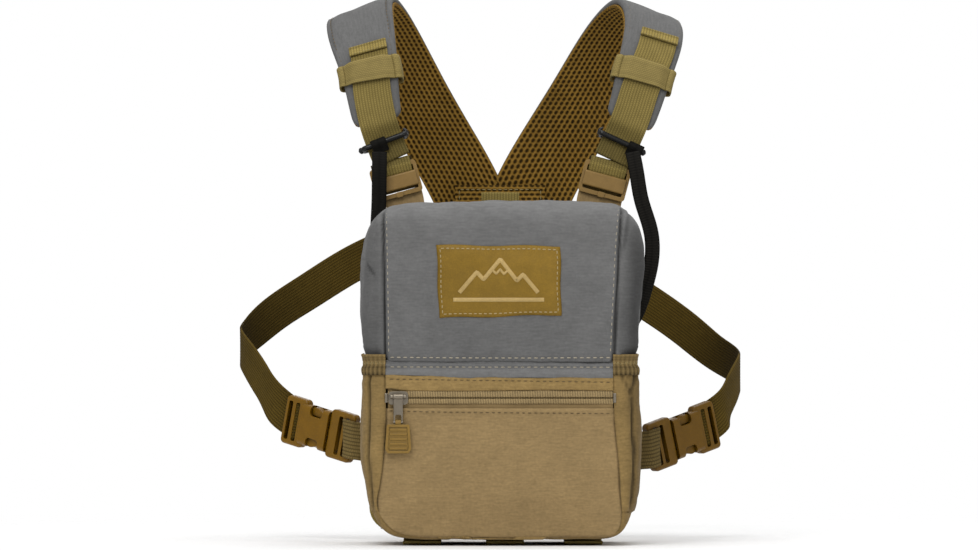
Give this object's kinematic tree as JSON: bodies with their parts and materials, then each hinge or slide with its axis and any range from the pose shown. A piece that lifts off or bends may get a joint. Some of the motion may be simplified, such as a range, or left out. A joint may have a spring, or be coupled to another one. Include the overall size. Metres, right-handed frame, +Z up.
{
  "type": "binocular harness pack",
  "caption": "Soft chest pack for binoculars with a forward-opening hood lid, zip pocket, side pockets and a padded four-point webbing harness.",
  "frame": {"origin": "centre of the pack's base panel, on its underside", "axes": "+X to the viewer's right, the pack's front faces -Y and the wearer is on +Y, +Z up"},
  "size_m": [0.3408, 0.2835, 0.369],
  "materials": {
    "grey_cloth": "matt woven nylon, fine plain weave",
    "lining_cloth": "smooth lining cloth",
    "patch_vinyl": "soft-sheen embossed vinyl",
    "magnet_steel": "nickel plated",
    "coyote_cloth": "matt woven nylon, fine plain weave",
    "elastic_band": "ribbed woven elastic",
    "foam": "closed-cell foam",
    "spacer_mesh": "open spacer mesh",
    "board_plastic": "thin stiff sheet",
    "belt_webbing": "ribbed nylon webbing",
    "strap_webbing": "ribbed nylon webbing",
    "buckle_plastic": "moulded acetal, satin",
    "black_plastic": "moulded acetal, satin",
    "black_webbing": "ribbed narrow webbing",
    "zip_metal": "grey die-cast metal",
    "zip_tape": "woven zip tape",
    "zip_coil": "nylon coil"
  },
  "bodies": {
    "root": {"anchor_tab_left": "coyote_cloth", "anchor_tab_right": "coyote_cloth", "back_board": "board_plastic", "back_panel": "spacer_mesh", "base_loops": "belt_webbing", "base_panel": "coyote_cloth", "belt_left": "belt_webbing", "belt_right": "belt_webbing", "belt_stub_left": "belt_webbing", "belt_stub_right": "belt_webbing", "body_magnets": "magnet_steel", "buckle_plug_left": "buckle_plastic", "buckle_plug_right": "buckle_plastic", "foam_liner": "foam", "hinge_strip": "grey_cloth", "main_shell": "coyote_cloth", "pad_cover_left": "grey_cloth", "pad_cover_right": "grey_cloth", "pad_foam_left": "foam", "pad_foam_right": "foam", "pad_mesh_left": "spacer_mesh", "pad_mesh_right": "spacer_mesh", "pocket_face": "coyote_cloth", "pocket_gusset": "coyote_cloth", "pocket_top_strip": "coyote_cloth", "side_pocket_elastic_left": "elastic_band", "side_pocket_elastic_right": "elastic_band", "side_pocket_left": "coyote_cloth", "side_pocket_right": "coyote_cloth", "strap_band_left": "elastic_band", "strap_band_right": "elastic_band", "strap_tail_left": "strap_webbing", "strap_tail_right": "strap_webbing", "strap_webbing_left": "strap_webbing", "strap_webbing_right": "strap_webbing", "tether_left": "black_webbing", "tether_right": "black_webbing", "yoke_patch_inner": "coyote_cloth", "yoke_patch_outer": "coyote_cloth", "zip_coil": "zip_coil", "zip_stops": "zip_metal", "zip_tapes": "zip_tape"},
    "lid": {"lid_lining": "lining_cloth", "lid_magnets": "magnet_steel", "lid_patch": "patch_vinyl", "lid_pull_tab": "belt_webbing", "lid_shell": "grey_cloth"},
    "zip_slider": {"zip_slider": "zip_metal"},
    "pull_link": {"pull_link": "zip_metal"},
    "pull_tab": {"pull_tab": "buckle_plastic"},
    "buckle_socket_left": {"buckle_socket_left": "buckle_plastic"},
    "ladder_lock_left": {"ladder_lock_left": "buckle_plastic"},
    "keeper_left": {"keeper_left": "black_plastic"},
    "prong_left_a": {"prong_left_a": "buckle_plastic"},
    "prong_left_b": {"prong_left_b": "buckle_plastic"},
    "buckle_socket_right": {"buckle_socket_right": "buckle_plastic"},
    "ladder_lock_right": {"ladder_lock_right": "buckle_plastic"},
    "keeper_right": {"keeper_right": "black_plastic"},
    "prong_right_a": {"prong_right_a": "buckle_plastic"},
    "prong_right_b": {"prong_right_b": "buckle_plastic"}
  },
  "joints": [
    {"name": "lid_open", "type": "hinge", "parent": "root", "child": "lid", "pos_m": [0, -0.0492, 0.117], "axis": [1, 0, 0], "range_deg": [0, 150]},
    {"name": "zip_slide", "type": "slide", "parent": "root", "child": "zip_slider", "axis": [1, 0, 0], "range_m": [0, 0.135]},
    {"name": "pull_flip", "type": "hinge", "parent": "zip_slider", "child": "pull_link", "pos_m": [-0.0675, -0.0537, 0.0954], "axis": [1, 0, 0], "range_deg": [-100, 0]},
    {"name": "tab_swing", "type": "hinge", "parent": "pull_link", "child": "pull_tab", "pos_m": [-0.0675, -0.0537, 0.0784], "axis": [1, 0, 0], "range_deg": [-50, 0]},
    {"name": "buckle_release_left", "type": "slide", "parent": "root", "child": "buckle_socket_left", "axis": [-0.7503, 0.6212, 0.2262], "range_m": [0, 0.024], "deforming": ["belt_left"]},
    {"name": "prong_squeeze_left_a", "type": "hinge", "parent": "root", "child": "prong_left_a", "pos_m": [-0.11385, 0.06429, 0.06101], "axis": [0.6378, 0.7702, 0], "range_deg": [0, 17.5]},
    {"name": "prong_squeeze_left_b", "type": "hinge", "parent": "root", "child": "prong_left_b", "pos_m": [-0.11086, 0.06181, 0.07777], "axis": [-0.6378, -0.7702, 0], "range_deg": [0, 17.5]},
    {"name": "buckle_release_right", "type": "slide", "parent": "root", "child": "buckle_socket_right", "axis": [0.7258, 0.6351, 0.2642], "range_m": [0, 0.024], "deforming": ["belt_right"]},
    {"name": "prong_squeeze_right_a", "type": "hinge", "parent": "root", "child": "prong_right_a", "pos_m": [0.11187, 0.06182, 0.07242], "axis": [-0.6585, 0.7526, 0], "range_deg": [0, 17.5]},
    {"name": "prong_squeeze_right_b", "type": "hinge", "parent": "root", "child": "prong_right_b", "pos_m": [0.11529, 0.06482, 0.05583], "axis": [0.6585, -0.7526, 0], "range_deg": [0, 17.5]},
    {"name": "ladder_tilt_left", "type": "hinge", "parent": "root", "child": "ladder_lock_left", "pos_m": [-0.06752, 0.049, 0.22973], "axis": [0.9659, 0, 0.2588], "range_deg": [0, 20], "deforming": ["strap_webbing_left", "strap_tail_left"]},
    {"name": "ladder_tilt_right", "type": "hinge", "parent": "root", "child": "ladder_lock_right", "pos_m": [0.06752, 0.049, 0.22973], "axis": [0.9659, 0, -0.2588], "range_deg": [0, 20], "deforming": ["strap_webbing_right", "strap_tail_right"]},
    {"name": "keeper_slide_left", "type": "slide", "parent": "root", "child": "keeper_left", "axis": [-0.3465, 0.1533, 0.9254], "range_m": [-0.008, 0], "deforming": ["tether_left"]},
    {"name": "keeper_slide_right", "type": "slide", "parent": "root", "child": "keeper_right", "axis": [0.4141, 0.1463, 0.8984], "range_m": [-0.008, 0], "deforming": ["tether_right"]}
  ],
  "couplings": [
    {"joint": "prong_squeeze_left_a", "follows": "buckle_release_left", "rad_per_m": 12.5},
    {"joint": "prong_squeeze_left_b", "follows": "buckle_release_left", "rad_per_m": 12.5},
    {"joint": "prong_squeeze_right_a", "follows": "buckle_release_right", "rad_per_m": 12.5},
    {"joint": "prong_squeeze_right_b", "follows": "buckle_release_right", "rad_per_m": 12.5}
  ]
}
